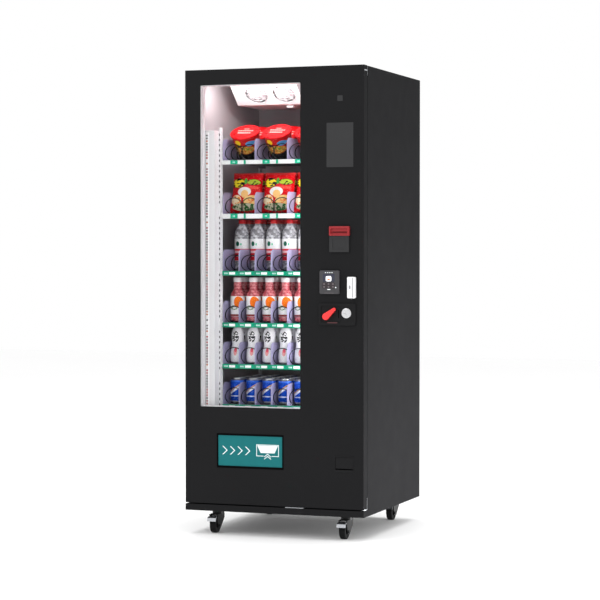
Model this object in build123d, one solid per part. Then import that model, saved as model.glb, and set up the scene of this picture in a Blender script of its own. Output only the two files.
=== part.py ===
from build123d import *
import math
import os

os.makedirs("parts", exist_ok=True)

# Snack vending machine. Millimetres, +Z up, the front faces -Y.
# Below, y is measured back from the door's front face; save() moves every node so that the
# row's origin is on the floor, under the middle of the whole machine.

# ---- driving dimensions -------------------------------------------------------------------
WIDTH = 792.0
DEPTH = 795.0
HEIGHT = 1952.0
HALF = WIDTH / 2
SCANNER_OUT = 30.0  # the code scanner stands this far out of the door
BASE_Z = 100.0  # underside of the base, on 63 mm casters
BAR_TOP = 127.0
DOOR_Z = 132.0
DOOR_T = 45.0
CAB_Y = 49.0  # front face of the cabinet, 4 mm behind the door
WALL = 40.0  # insulated sandwich wall
LINER_T = 3.0
IN_X = HALF - WALL  # inner face of the side walls
PART_X0, PART_X1 = 178.0, 208.0  # partition between goods and payment bay
BACK_Y = DEPTH - WALL
CEIL_Z = HEIGHT - WALL
DECK_Z0, DECK_Z1 = 482.0, 517.0  # insulated deck over the machine bay
WELL_Y = 300.0  # back of the drop well
WELL_Z0, WELL_Z1 = 217.0, 247.0  # floor slab of the drop well

WINDOW = (-327.0, 120.0, 540.0, 1887.0)  # x0, x1, z0, z1
FLAP = (-247.0, 41.0, 293.0, 422.0)
COIN_DOOR = (274.0, 350.0, 294.0, 347.0)
SCREEN = (235.0, 351.0, 1536.0, 1718.0)
CAMERA = (282.0, 305.0, 1806.0, 1829.0)
BILL = (249.5, 337.0, 1188.0, 1294.0)
BILL_SPLIT = 1255.0
READER = (207.0, 293.0, 1016.0, 1113.0)
SCANNER = (333.6, 363.4, 1000.0, 1087.0)
COIN_PANEL = (201.7, 362.6, 887.0, 978.0)
LEVER_AT = (236.6, 923.7)
LEVER_TIP = (273.1, 953.7)
LOCK_AT = (323.8, 938.2)
HINGE_AT = (386.0, 25.0)  # door hinge line, x and y

TRAY_X0 = -279.0
PITCH = 73.0  # one lane
LANES = 6
TRAY_X1 = TRAY_X0 + LANES * PITCH
TRAY_Y0, TRAY_Y1 = 130.0, 640.0
RAIL_Z = ((1561, 1578), (1331, 1351), (1089, 1108), (869, 889), (694, 713), (523, 541))
WIDE_TRAYS = 2  # the top trays have lanes two pitches wide
DIVIDER_H = 95.0
DIVIDER_T = 1.2
COIL_RISE = 38.5  # spiral axis above the tray's floor
LIVE_TRAYS = (2, 3, 4)  # trays whose rightmost spiral is its own moving piece

FRONT_WHEEL_Y, REAR_WHEEL_Y = 70.0, 714.0
CASTER_X = 289.0
SWIVEL_OFFSET = 34.0
WHEEL_R = 31.5

FACE_Y = SCANNER_OUT - (DEPTH + SCANNER_OUT) / 2  # y of the door face in the row's frame


# ---- helpers ------------------------------------------------------------------------------
def block(x0, x1, y0, y1, z0, z1):
    return Pos((x0 + x1) / 2, (y0 + y1) / 2, (z0 + z1) / 2) * Box(x1 - x0, y1 - y0, z1 - z0)


def rod_x(x0, x1, y, z, r):
    return Pos((x0 + x1) / 2, y, z) * Rot(0, 90, 0) * Cylinder(r, x1 - x0)


def rod_y(x, y0, y1, z, r):
    return Pos(x, (y0 + y1) / 2, z) * Rot(90, 0, 0) * Cylinder(r, y1 - y0)


def rod_z(x, y, z0, z1, r):
    return Pos(x, y, (z0 + z1) / 2) * Cylinder(r, z1 - z0)


def front_plane(y):
    """Plane facing the front at depth y: its x is X and its y is Z."""
    return Plane((0, y, 0), x_dir=(1, 0, 0), z_dir=(0, -1, 0))


def plate(rect, y0, y1, r=0.0, grow=0.0):
    """Upright plate over rect (x0, x1, z0, z1), from y0 back to y1, with corners of radius r."""
    x0, x1, z0, z1 = rect[0] - grow, rect[1] + grow, rect[2] - grow, rect[3] + grow
    if r <= 0:
        return block(x0, x1, y0, y1, z0, z1)
    outline = Pos((x0 + x1) / 2, (z0 + z1) / 2) * RectangleRounded(x1 - x0, z1 - z0, r)
    return extrude(front_plane(y1) * outline, y1 - y0)


def ring(rect, outer, inner, y0, y1, r_out=0.0, r_in=0.0):
    """Upright frame around rect, from `inner` outside its edge to `outer` outside its edge."""
    return plate(rect, y0, y1, r_out, outer) - plate(rect, y0 - 1, y1 + 1, r_in, inner)


def side_profile(points, x0, x1):
    """Prism along X over a closed outline given as (y, z) points."""
    face = make_face(Polyline(*[(x0, y, z) for y, z in points], close=True))
    return extrude(face, x1 - x0, dir=(1, 0, 0))


def flat(shape):
    return list(shape.solids())


def save(node, *shapes):
    solids = [Pos(0, FACE_Y, 0) * s for shape in shapes for s in flat(shape)]
    whole = solids[0] if len(solids) == 1 else Compound(children=solids)
    export_step(whole, "parts/" + node + ".step")


def fan_rotor(radius, hub_r, count, depth, bore_r, twist=32):
    """Rotor about Z, centred on the origin."""
    rotor = Cylinder(hub_r, depth)
    reach = radius - hub_r + 2
    for k in range(count):
        blade = Pos(hub_r - 2 + reach / 2, 0, 0) * Rot(twist, 0, 0) * Box(reach, radius * 0.4, 1.6)
        rotor += Rot(0, 0, k * 360 / count) * blade
    rotor &= Cylinder(radius, depth * 2)
    return rotor - Cylinder(bore_r, depth * 2)


# ---- cabinet ------------------------------------------------------------------------------
shell = block(-HALF, HALF, CAB_Y, DEPTH, BASE_Z, HEIGHT)
shell = fillet(shell.edges().filter_by(Axis.Y).sort_by(Axis.Z)[-2:], 3)
for x0, x1 in ((-IN_X, PART_X0), (PART_X1, IN_X)):
    shell -= block(x0, x1, CAB_Y - 1, BACK_Y, DECK_Z1, CEIL_Z)
    shell -= block(x0, x1, CAB_Y - 1, WELL_Y, WELL_Z1, DECK_Z1 + 1)
shell -= block(-IN_X, IN_X, CAB_Y - 1, DEPTH + 1, BASE_Z - 1, WELL_Z0)
shell -= block(-IN_X, IN_X, WELL_Y + 30, DEPTH + 1, BASE_Z - 1, DECK_Z0)
for z0, z1 in ((BAR_TOP, BAR_TOP + 50), (HEIGHT - 42, HEIGHT + 1)):
    shell -= block(366, HALF + 1, CAB_Y - 1.4, CAB_Y + 3, z0, z1)
ANCHOR_Z = HEIGHT - 60
for x in (-250, 250):
    shell -= rod_y(x, DEPTH - 25, DEPTH + 1, ANCHOR_Z, 4.25)
save("cabinet_shell", shell)

upper = block(-IN_X, PART_X0, CAB_Y, BACK_Y, DECK_Z1, CEIL_Z)
well = block(-IN_X, PART_X0, CAB_Y, WELL_Y, WELL_Z1, DECK_Z1 + 1)
t = LINER_T
upper_in = block(-IN_X + t, PART_X0 - t, CAB_Y - 1, BACK_Y - t, DECK_Z1 + t, CEIL_Z - t)
well_in = block(-IN_X + t, PART_X0 - t, CAB_Y - 1, WELL_Y - t, WELL_Z1 + t, DECK_Z1 + t + 1)
save("inner_liner", upper + well - upper_in - well_in)

bar = block(-HALF, HALF, 0, CAB_Y, BASE_Z, BAR_TOP)
bar = fillet(bar.edges().filter_by(Axis.X).sort_by(Axis.Y)[:2], 2)
bar -= block(-HALF + 3, HALF - 3, 3, CAB_Y + 1, BASE_Z - 1, BAR_TOP - 3)
base = bar + block(-IN_X, IN_X, CAB_Y, DEPTH, BASE_Z, BASE_Z + 4)
base += block(-IN_X, IN_X, CAB_Y, CAB_Y + 4, BASE_Z, WELL_Z0)
for x in (-IN_X, IN_X - 4):
    base += block(x, x + 4, CAB_Y, DEPTH - 10, BASE_Z, BASE_Z + 24)
base += block(-IN_X, IN_X, DEPTH - 4, DEPTH, BASE_Z, BASE_Z + 12)
for y in (FRONT_WHEEL_Y + SWIVEL_OFFSET, REAR_WHEEL_Y + SWIVEL_OFFSET):
    for x in (-CASTER_X, CASTER_X):
        base += block(x - 40, x + 40, y - 36, y + 36, BASE_Z + 4, BASE_Z + 9)
for k in range(14):
    base -= block(-300 + k * 45, -300 + k * 45 + 24, CAB_Y - 1, CAB_Y + 5, 150, 196)
save("base_frame", base)

GRILLE_Y = DEPTH - 8
grille = block(-IN_X + 0.5, IN_X - 0.5, GRILLE_Y, GRILLE_Y + 3, BASE_Z + 12.5, DECK_Z0 - 0.5)
grille += ring((-IN_X + 0.5, IN_X - 0.5, BASE_Z + 12.5, DECK_Z0 - 0.5), 0, -12, GRILLE_Y + 3, DEPTH)
for x in (-320, -90, 140):
    for k in range(17):
        z = 165 + k * 15
        if x != 140 or z > 240:
            grille -= block(x, x + 180, GRILLE_Y - 1, GRILLE_Y + 4, z, z + 6.5)
INLET_X, INLET_Z = 250.0, 195.0
grille -= block(INLET_X - 14, INLET_X + 14, GRILLE_Y - 1, GRILLE_Y + 4, INLET_Z - 12, INLET_Z + 12)
save("rear_grille", grille)

inlet_rect = (INLET_X - 13.8, INLET_X + 13.8, INLET_Z - 11.8, INLET_Z + 11.8)
inlet = plate(inlet_rect, GRILLE_Y - 22, GRILLE_Y + 3)
inlet += plate(inlet_rect, GRILLE_Y + 3, GRILLE_Y + 6, 3, 6)
inlet -= plate(inlet_rect, GRILLE_Y - 12, GRILLE_Y + 7, 2, -2)
for x, z in ((0, 4), (-7, -3), (7, -3)):
    inlet += block(INLET_X + x - 1, INLET_X + x + 1, GRILLE_Y - 13, GRILLE_Y + 3, INLET_Z + z - 2, INLET_Z + z + 2)
save("power_inlet", inlet)

screws = []
for x in (-300, -100, 100, 330):
    for z in (147, 448):
        head = rod_y(x, GRILLE_Y + 3, GRILLE_Y + 5.5, z, 4.5)
        head -= block(x - 3, x + 3, GRILLE_Y + 4.3, GRILLE_Y + 6, z - 0.6, z + 0.6)
        head -= block(x - 0.6, x + 0.6, GRILLE_Y + 4.3, GRILLE_Y + 6, z - 3, z + 3)
        screws.append(head)
save("panel_screws", *screws)

# ---- cooling unit -------------------------------------------------------------------------
can = Pos(200, 560, 225) * Cylinder(70, 150)
can = fillet(can.edges(), 28)
can += block(130, 270, 500, 620, BASE_Z + 18, BASE_Z + 26)
for x, y in ((145, 515), (255, 515), (145, 605), (255, 605)):
    can += rod_z(x, y, BASE_Z + 4, BASE_Z + 20, 9)
can += rod_z(200, 560, BASE_Z + 25, 160, 40)
can += rod_z(175, 560, 295, 330, 5)
can += rod_z(225, 560, 295, 345, 4)
save("compressor", can)

FAN_C = (-190.0, 300.0)  # x and z of the condenser fan
coil = block(-310, -304, 640, 690, BASE_Z + 4, 430) + block(-76, -70, 640, 690, BASE_Z + 4, 430)
coil += block(-310, -70, 640, 690, BASE_Z + 4, BASE_Z + 8)
for k in range(38):
    coil += block(-305 + k * 6.1, -304.2 + k * 6.1, 642, 688, 150, 425)
for k in range(8):
    coil += rod_x(-306, -74, 665, 168 + k * 34, 4.5)
coil += block(-310, -70, 690, 693, 140, 430)
coil -= rod_y(FAN_C[0], 689.5, 700, FAN_C[1], 98)
coil += block(-300, -80, 720, 724, FAN_C[1] - 7, FAN_C[1] + 7)
for x in (-300, -84):
    coil += block(x, x + 4, 693, 724, FAN_C[1] - 7, FAN_C[1] + 7)
coil += rod_y(FAN_C[0], 724, 749, FAN_C[1], 26)
coil += rod_y(FAN_C[0], 699, 724, FAN_C[1], 4)
save("condenser", coil)
rotor = fan_rotor(92, 22, 5, 14, 4.05)
save("condenser_fan", Pos(FAN_C[0], 706, FAN_C[1]) * Rot(90, 0, 0) * rotor)

# ---- evaporator cover with its two fans ------------------------------------------------------
COVER_X = (-279.0, 23.0)
COVER = ((211.0, 1905.0), (307.0, 1823.0))  # top and bottom edge of the sloping face, y and z
COVER_TOP = CEIL_Z - LINER_T
outer_pts = [(211, COVER_TOP), (211, 1905), (307, 1823), (600, 1823), (600, COVER_TOP)]
inner_pts = [(213, COVER_TOP + 1), (213, 1905.9), (307.8, 1825), (598, 1825), (598, COVER_TOP + 1)]
cover = side_profile(outer_pts, *COVER_X) - side_profile(inner_pts, COVER_X[0] + 2, COVER_X[1] - 2)
slope_len = math.hypot(96, 82)
face_n = (0, -82 / slope_len, -96 / slope_len)
FAN_X = (-174.0, -48.0)
fan_planes = [Plane((x, 259, 1864), x_dir=(1, 0, 0), z_dir=face_n) for x in FAN_X]
for p in fan_planes:
    cover -= p * Cylinder(50, 20)
    guard = Cylinder(12, 2.4)
    for r in (51, 37, 23):
        guard += Cylinder(r + 1.3, 2.4) - Cylinder(r - 1.3, 3)
    for a in (0, 45, 90, 135):
        guard += Rot(0, 0, a) * Box(103, 2.4, 2.4)
    guard += Pos(0, 0, -4) * Cylinder(2, 9)
    cover += p * (Pos(0, 0, 0.8) * guard)
for x in (-210, -90, 0):
    cover += rod_z(x, 480, 1821, 1823.5, 6)
cover += block(-62, -34, 330, 350, 1812, 1823.5) - block(-60, -36, 332, 348, 1811, 1820)
save("evaporator_cover", cover)
for side, p in zip(("left", "right"), fan_planes):
    save("evaporator_fan_" + side, p * (Pos(0, 0, -8) * fan_rotor(46, 14, 7, 8, 2.05)))

# ---- light strips, uprights and fillers ------------------------------------------------------
FILL_X1 = -287.0
FILL_Z = (250.0, 1702.0)
fill = block(-IN_X + t, FILL_X1, 60, 132, *FILL_Z)
fill -= block(-IN_X + t - 1, FILL_X1 - 2, 62, 133, FILL_Z[0] - 1, FILL_Z[1] - 2)
upright = block(FILL_X1, FILL_X1 + 6, 108, 136, 252, 1718)
upright -= block(FILL_X1 + 1.5, FILL_X1 + 7, 110, 134, 251, 1719)
rear_upright = block(FILL_X1, FILL_X1 + 6, 570, 598, DECK_Z1 + t, 1718)
rear_upright -= block(FILL_X1 + 1.5, FILL_X1 + 7, 572, 596, DECK_Z1 + t - 1, 1719)
slots = []
for k in range(56):
    z = 280 + k * 25
    slots.append(block(FILL_X1 - 1, FILL_X1 + 2, 119, 125, z, z + 12))
upright -= Compound(children=slots)
slots = [block(FILL_X1 - 1, FILL_X1 + 2, 581, 587, 540 + k * 25, 552 + k * 25) for k in range(46)]
rear_upright -= Compound(children=slots)
frames = [fill + upright, rear_upright + block(-IN_X + t, FILL_X1, 580, 588, 1500, 1540)]
right_front = block(TRAY_X1 + 2, PART_X0 - t, 108, 136, DECK_Z1 + t, 1718)
right_front -= block(TRAY_X1 + 3.5, PART_X0 - t + 1, 110, 134, DECK_Z1 + t - 1, 1719)
right_rear = Pos(0, 462, 0) * right_front
frames += [right_front, right_rear]
for z0, z1 in RAIL_Z:
    if z0 > 600:
        frames.append(block(FILL_X1 + 6, TRAY_X0, 112, 618, z1 - 12, z1 + 8))
save("tray_uprights", *frames)

strips = block(-328, -312, 56, 60, 262, 1694)
strips += block(-325, -315, 54.5, 56, 270, 1690)
strips_r = block(150, 166, 62, 70, 560, 1880)
strips_r += block(166, PART_X0 - t, 66, 70, 560, 1880)
strips_t = block(-320, 140, 62, 70, 1896, COVER_TOP)
save("light_strips", strips, strips_r, strips_t)


# ---- trays, dividers, price rails -------------------------------------------------------------
def floor_z(tray):
    return RAIL_Z[tray][1] - 3.0


for n in range(6):
    z = floor_z(n)
    low = RAIL_Z[n][0]
    tray = block(TRAY_X0, TRAY_X1, TRAY_Y0, TRAY_Y1, z - 1.5, z)
    tray += block(TRAY_X0, TRAY_X1, TRAY_Y0, TRAY_Y0 + 1.5, low, z)
    for x in (TRAY_X0, TRAY_X1 - 1.5):
        tray += block(x, x + 1.5, TRAY_Y0, TRAY_Y1, low + 2, z)
    tray += block(TRAY_X0, TRAY_X1, TRAY_Y1 - 1.5, TRAY_Y1, z - 1.5, z + 80)
    for k in range(LANES):
        x = TRAY_X0 + (k + 0.5) * PITCH
        for y in (220, 340, 460):
            tray -= block(x - 4, x + 4, y, y + 70, z - 2, z + 1)
        tray -= rod_y(x, TRAY_Y1 - 3, TRAY_Y1 + 1, z + COIL_RISE, 11)
    save("tray_" + str(n + 1), tray)

dividers = []
for n in range(6):
    z = floor_z(n)
    for k in range(0, LANES + 1, 2 if n < WIDE_TRAYS else 1):
        x = min(max(TRAY_X0 + k * PITCH - DIVIDER_T / 2, TRAY_X0), TRAY_X1 - DIVIDER_T)
        d = block(x, x + DIVIDER_T, TRAY_Y0 + 2, TRAY_Y1 - 2, z, z + DIVIDER_H)
        corner = d.edges().filter_by(Axis.X).group_by(Axis.Y)[0].sort_by(Axis.Z)[-1]
        dividers.append(fillet(corner, 26))
save("lane_dividers", *dividers)

rails = []
for z0, z1 in RAIL_Z:
    rail = block(TRAY_X0, TRAY_X1, TRAY_Y0 - 5, TRAY_Y0, z0, z1)
    rail -= block(TRAY_X0 - 1, TRAY_X1 + 1, TRAY_Y0 - 6, TRAY_Y0 - 2.5, z0 + 1.5, z1 - 1.5)
    rails.append(rail)
save("price_rails", *rails)

# ---- spirals and their motors -----------------------------------------------------------------
WIRE_R = 2.0
COIL_R = 33.0  # to the wire's centre
COIL_Y0, COIL_Y1 = 138.0, 618.0
TURNS = 7.25
BENDS = 12  # straight runs of wire to a turn
WIRE_SIDES = 8  # sides of the rolled wire's section


def spiral():
    """Spiral about the Y axis from its drive hub forward, centred on x = z = 0."""
    count = round(TURNS * BENDS)
    corners = []
    for k in range(count + 1):
        a = 2 * math.pi * k / BENDS
        corners.append((COIL_R * math.cos(a), COIL_R * math.sin(a), (COIL_Y1 - COIL_Y0) * k / count))
    path = Polyline(*corners)
    section = Plane(corners[0], z_dir=path % 0) * RegularPolygon(WIRE_R, WIRE_SIDES)
    wire = sweep(section, path=path, transition=Transition.RIGHT)
    arm = Pos((COIL_R + 1.8) / 2, 0, 0) * Rot(0, 90, 0) * Cylinder(WIRE_R + 0.6, COIL_R + 1.8)
    hub = Pos(0, 0, -7) * Cylinder(9, 18)
    whole = wire + arm + hub - Pos(0, 0, -12) * Cylinder(4.05, 20)
    return Pos(0, COIL_Y1, 0) * Rot(90, 0, 0) * Rot(0, 0, 180) * whole


coil_shape = spiral()
fixed = []
motors = []
for n in range(6):
    z = floor_z(n) + COIL_RISE
    for k in range(LANES):
        x = TRAY_X0 + (k + 0.5) * PITCH
        coil = Pos(x, 0, z) * coil_shape
        if k == LANES - 1 and n in LIVE_TRAYS:
            save("spiral_tray_" + str(n + 1), coil)
        else:
            fixed.append(coil)
        motor = block(x - 26, x + 26, TRAY_Y1, TRAY_Y1 + 34, z - 30, z + 30)
        motor += rod_y(x, COIL_Y1 - 1 + 8, TRAY_Y1 + 1, z, 4)
        motors.append(motor)
save("product_spirals", *fixed)
save("spiral_motors", *motors)

# ---- hinge brackets and door rest ---------------------------------------------------------------
HX, HY = HINGE_AT
PIN_R = 4.0
brackets = []
for leaf_z, plate_z, pin_z in (
    ((BAR_TOP + 1, BAR_TOP + 4.4), (BAR_TOP + 1, BAR_TOP + 50), (BAR_TOP + 4, BAR_TOP + 22)),
    ((HEIGHT - 22, HEIGHT - 18), (HEIGHT - 42, HEIGHT - 0.5), (HEIGHT - 38, HEIGHT - 20)),
):
    leaf = block(HX - 9, HX + 9, HY, CAB_Y + 3, *leaf_z) + rod_z(HX, HY, *leaf_z, 9)
    leaf += block(366.5, HALF - 1, CAB_Y - 1.4, CAB_Y + 3, *plate_z)
    leaf += rod_z(HX, HY, *pin_z, PIN_R)
    brackets.append(leaf)
rest = block(51, 132, 6, 40, BAR_TOP, BAR_TOP + 3)
rest = fillet(rest.edges().filter_by(Axis.X).group_by(Axis.Z)[-1], 1.2)
save("hinge_brackets", *brackets, rest)

# ---- door -----------------------------------------------------------------------------------------
DOOR = (-HALF, HALF, DOOR_Z, HEIGHT)
SKIN = 3.0
BIN = (-252.0, 46.0, 262.0, 429.0)
CUP = (270.0, 354.0, 284.0, 351.0)
pan = plate(DOOR, 0, DOOR_T)
pan = fillet(pan.faces().sort_by(Axis.Y)[0].edges(), 2)
pan -= plate(DOOR, SKIN, DOOR_T + 1, 0, -4)
pan -= plate(WINDOW, -1, SKIN + 1, 4)
pan -= plate((FLAP[0] - 5, FLAP[1] + 5, FLAP[2] - 8, FLAP[3] + 7), -1, SKIN + 1)
pan -= plate(CUP, -1, SKIN + 1)
pan -= plate(SCREEN, -1, SKIN + 1, 3, 0.2)
pan -= plate(CAMERA, -1, SKIN + 1, 1, -2)
pan -= plate(BILL, -1, SKIN + 1, 0, -4)
pan -= plate(READER, -1, SKIN + 1, 0, -12)
pan -= plate(SCANNER, -1, SKIN + 1, 0, -8)
pan -= plate((222, 300, 905, 960), -1, SKIN + 1)
pan -= rod_y(LOCK_AT[0], -1, SKIN + 1, LOCK_AT[1], 12)

core = plate(DOOR, SKIN, DOOR_T, 0, -4.2)
core -= plate(WINDOW, SKIN - 1, DOOR_T + 1, 0, 13)
core -= plate(BIN, SKIN - 1, DOOR_T + 1)
core -= plate(CUP, SKIN - 1, DOOR_T + 1, 0, 0.5)
core -= plate(SCREEN, SKIN - 1, 30, 0, 8)
core -= plate(CAMERA, SKIN - 1, 24, 0, 4)
core -= plate(BILL, SKIN - 1, DOOR_T + 1, 0, 1)
core -= plate(READER, SKIN - 1, 26, 0, 1)
core -= plate(SCANNER, SKIN - 1, 20, 0, 2)
core -= plate((214, 306, 800, 970), SKIN - 1, DOOR_T + 1)
core -= rod_y(LOCK_AT[0], SKIN - 1, DOOR_T + 1, LOCK_AT[1], 12)

notch = block(HX - 10.5, HALF + 1, 8, DOOR_T + 1, HEIGHT - 24, HEIGHT - 16)
socket = rod_z(HX, HY, HEIGHT - 39, HEIGHT - 16, PIN_R + 0.05)
socket += rod_z(HX, HY, DOOR_Z - 1, BAR_TOP + 23, PIN_R + 0.05)
save("door_shell", pan - notch - socket)
save("door_liner", core - notch - socket)

trim = ring(WINDOW, 12.8, -2, 9, DOOR_T, 0, 4)
trim -= plate(WINDOW, 20, 24.5, 0, 3)
save("window_trim", trim)
panes = [plate(WINDOW, SKIN + 0.5, 8.5, 0, 12.3), plate(WINDOW, 20.2, 24.2, 0, 2.6)]
save("window_glass", *panes)
GASKET = (-380.0, 200.0, 222.0, 1937.0)
save("door_gasket", ring(GASKET, 0, -14, DOOR_T, CAB_Y - 0.4, 6, 4))

glass = plate(SCREEN, -0.6, 4, 2.8)
glass += plate(SCREEN, 4, 26, 0, 4)
cam = plate(CAMERA, -1.2, 0, 2) + plate(CAMERA, -0.5, 18, 0, -2.3)
cam += rod_y((CAMERA[0] + CAMERA[1]) / 2, -2, 0, (CAMERA[2] + CAMERA[3]) / 2, 5)
save("touch_screen", glass, cam)

# Banknote acceptor: a bezel with a mouth over a grey front plate, and the validator behind.
bezel_rect = (BILL[0], BILL[1], BILL_SPLIT, BILL[3])
bezel = plate(bezel_rect, -14, 0, 4)
bezel = fillet(bezel.edges().filter_by(Axis.X).group_by(Axis.Y)[0], 3)
bezel += plate(bezel_rect, 0, 8, 0, -4.3)
mouth = (BILL[0] + 7, BILL[1] - 7, BILL_SPLIT + 6, BILL[3] - 9)
bezel -= plate(mouth, -20, -8, 5)
bezel -= block(mouth[0] + 4, mouth[1] - 4, -20, 9, BILL_SPLIT + 13, BILL_SPLIT + 17)
save("bill_bezel", bezel)
lower = plate((BILL[0], BILL[1] - 3, BILL[2], BILL_SPLIT), -8, 0, 3)
lower += plate((BILL[0] + 5, BILL[1] - 8, BILL[2] + 5, BILL_SPLIT - 0.2), 0, 8)
lower -= plate((BILL[0] + 14, BILL[1] - 17, BILL[2] + 12, BILL_SPLIT - 12), -9, -6.5, 4)
lower += plate((BILL[0] - 0.5, BILL[1] + 0.5, BILL[2] - 0.5, BILL[3] + 0.5), 8, 120)
lower -= block(mouth[0] + 4, mouth[1] - 4, 7, 60, BILL_SPLIT + 13, BILL_SPLIT + 17)
save("bill_validator", lower)

reader = plate(READER, -9, 0, 7)
reader = fillet(reader.faces().sort_by(Axis.Y)[0].edges(), 2)
reader += plate(READER, 0, 24, 0, -12.5)
reader -= plate((READER[0] + 27, READER[1] - 27, READER[3] - 46, READER[3] - 16), -10, -8.2, 6)
for row in range(2):
    for col in range(5):
        x = READER[0] + 15 + col * 14
        z = READER[2] + 16 + row * 13
        reader -= plate((x - 4.5, x + 4.5, z, z + 8), -10, -8.4, 2)
save("card_reader", reader)

scanner = plate(SCANNER, -SCANNER_OUT, 0, 5)
scanner = fillet(scanner.faces().sort_by(Axis.Y)[0].edges(), 3)
scanner -= plate((341, 356, 1030, 1060), -SCANNER_OUT - 1, -SCANNER_OUT + 1.5, 7)
scanner += plate(SCANNER, 0, 18, 0, -8.4)
save("code_scanner", scanner)

panel = plate(COIN_PANEL, -6, 0, 10)
panel = fillet(panel.faces().sort_by(Axis.Y)[0].edges(), 1.5)
panel -= plate((212, 300, 899, 968), -7, -3, 8)
panel -= plate((287, 290.4, 918, 950), -7, 40)
panel += plate((222.4, 299.6, 905.4, 959.6), 0, 6)
panel += plate((225, 300, 806, 965), 6, 82)
panel -= plate((287, 290.4, 918, 950), -7, 40)
panel -= rod_y(LEVER_AT[0], -7, 30, LEVER_AT[1], 5.05)
panel -= rod_y(LOCK_AT[0], -7, 1, LOCK_AT[1], 12.2)
save("coin_panel", panel)

dx, dz = LEVER_TIP[0] - LEVER_AT[0], LEVER_TIP[1] - LEVER_AT[1]
reach = math.hypot(dx, dz)
lean = math.degrees(math.atan2(dz, dx))
arm = make_hull([*Circle(14).edges(), *(Pos(reach, 0) * Circle(6.5)).edges()])
arm = extrude(front_plane(-9) * Pos(*LEVER_AT) * Rot(0, 0, lean) * arm, 11)
arm = fillet(arm.faces().sort_by(Axis.Y)[0].edges(), 2.5)
arm += rod_y(LEVER_AT[0], -9.5, 28, LEVER_AT[1], 5)
save("coin_return_lever", arm)

LX, LZ = LOCK_AT
rose = rod_y(LX, -10, -6, LZ, 20.6)
rose = fillet(rose.faces().sort_by(Axis.Y)[0].edges(), 1.5)
rose += rod_y(LX, -6, 40, LZ, 11.8)
rose -= rod_y(LX, -11, -4, LZ, 15.05) & rod_y(LX, -11, -7, LZ, 15.05)
rose -= rod_y(LX, -11, 41, LZ, 8.05)
save("lock_escutcheon", rose)
plug = rod_y(LX, -11, -7.3, LZ, 15)
plug = fillet(plug.faces().sort_by(Axis.Y)[0].edges(), 0.8)
plug += rod_y(LX, -8, 44, LZ, 8)
plug -= plate((LX - 11, LX + 11, LZ - 2, LZ + 2), -12, -4, 1.9)
plug -= rod_y(LX, -12, -4, LZ, 5)
plug += block(LX - 3.5, LX + 3.5, 43, 62, LZ - 3.5, LZ + 3.5)
save("lock_plug", plug)

# ---- delivery opening, flap and bin -------------------------------------------------------------
bezel = plate((FLAP[0] - 5, FLAP[1] + 5, FLAP[2] - 8, FLAP[3] + 7), -2, 16, 2)
bezel = fillet(bezel.faces().sort_by(Axis.Y)[0].edges(), 1)
bezel -= plate(FLAP, -3, 17, 1)
PIVOT = (9.5, FLAP[3] - 7)  # y and z of the flap's hinge line
bezel -= rod_x(FLAP[0] - 4, FLAP[1] + 4, *PIVOT, 2.55)
save("delivery_frame", bezel)
flap = plate((FLAP[0] + 0.8, FLAP[1] - 0.8, FLAP[2] + 0.8, FLAP[3] - 0.8), 1, 4.5, 1)
flap += rod_x(FLAP[0] + 0.8, FLAP[1] - 0.8, *PIVOT, 4.5)
flap += block(FLAP[0] + 0.8, FLAP[1] - 0.8, 4, PIVOT[0], PIVOT[1] - 2.5, PIVOT[1] + 2.5)
for k in range(5):
    x = FLAP[0] + 20 + k * (FLAP[1] - FLAP[0] - 43) / 4
    flap += block(x, x + 3, 4, 9, FLAP[2] + 8, PIVOT[1])
flap += rod_x(FLAP[0] - 3.5, FLAP[1] + 3.5, *PIVOT, 2.5)
save("delivery_flap", flap)

BIN_BACK = 226.0
tub = block(BIN[0] + 0.3, BIN[1] - 0.3, 16.5, BIN_BACK, BIN[2] + 0.3, 428)
tub -= block(BIN[0] + 2.8, BIN[1] - 2.8, 16, BIN_BACK - 2.5, BIN[2] + 3, 440)
tub += block(BIN[0] + 0.3, BIN[1] - 0.3, BIN_BACK - 2.5, BIN_BACK, 400, 470)
tub += block(BIN[0] - 14, BIN[0] + 0.8, DOOR_T, DOOR_T + 2.5, BIN[2] + 10, 425)
tub += block(BIN[1] - 0.8, BIN[1] + 14, DOOR_T, DOOR_T + 2.5, BIN[2] + 10, 425)
save("pickup_bin", tub)

cup = plate(CUP, -1.5, 12, 2)
cup = fillet(cup.faces().sort_by(Axis.Y)[0].edges(), 1)
cup += plate(CUP, 3, 74, 0, -1)
cup -= plate(COIN_DOOR, -3, 13, 1)
cup -= plate(COIN_DOOR, 12, 71)
cup -= block(285, 300, 50, 70, 340, 360)
CUP_PIVOT = (6.5, COIN_DOOR[3] - 5)
cup -= rod_x(COIN_DOOR[0] - 3, COIN_DOOR[1] + 3, *CUP_PIVOT, 1.55)
save("coin_return_cup", cup)
little = plate((COIN_DOOR[0] + 0.8, COIN_DOOR[1] - 0.8, COIN_DOOR[2] + 5, COIN_DOOR[3] - 0.8), 0.5, 3, 1)
little += rod_x(COIN_DOOR[0] + 0.8, COIN_DOOR[1] - 0.8, *CUP_PIVOT, 3)
little += block(COIN_DOOR[0] + 0.8, COIN_DOOR[1] - 0.8, 2.5, 6.5, CUP_PIVOT[1] - 1.5, CUP_PIVOT[1] + 1.5)
little += rod_x(COIN_DOOR[0] - 2.5, COIN_DOOR[1] + 2.5, *CUP_PIVOT, 1.5)
save("coin_return_flap", little)

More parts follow.
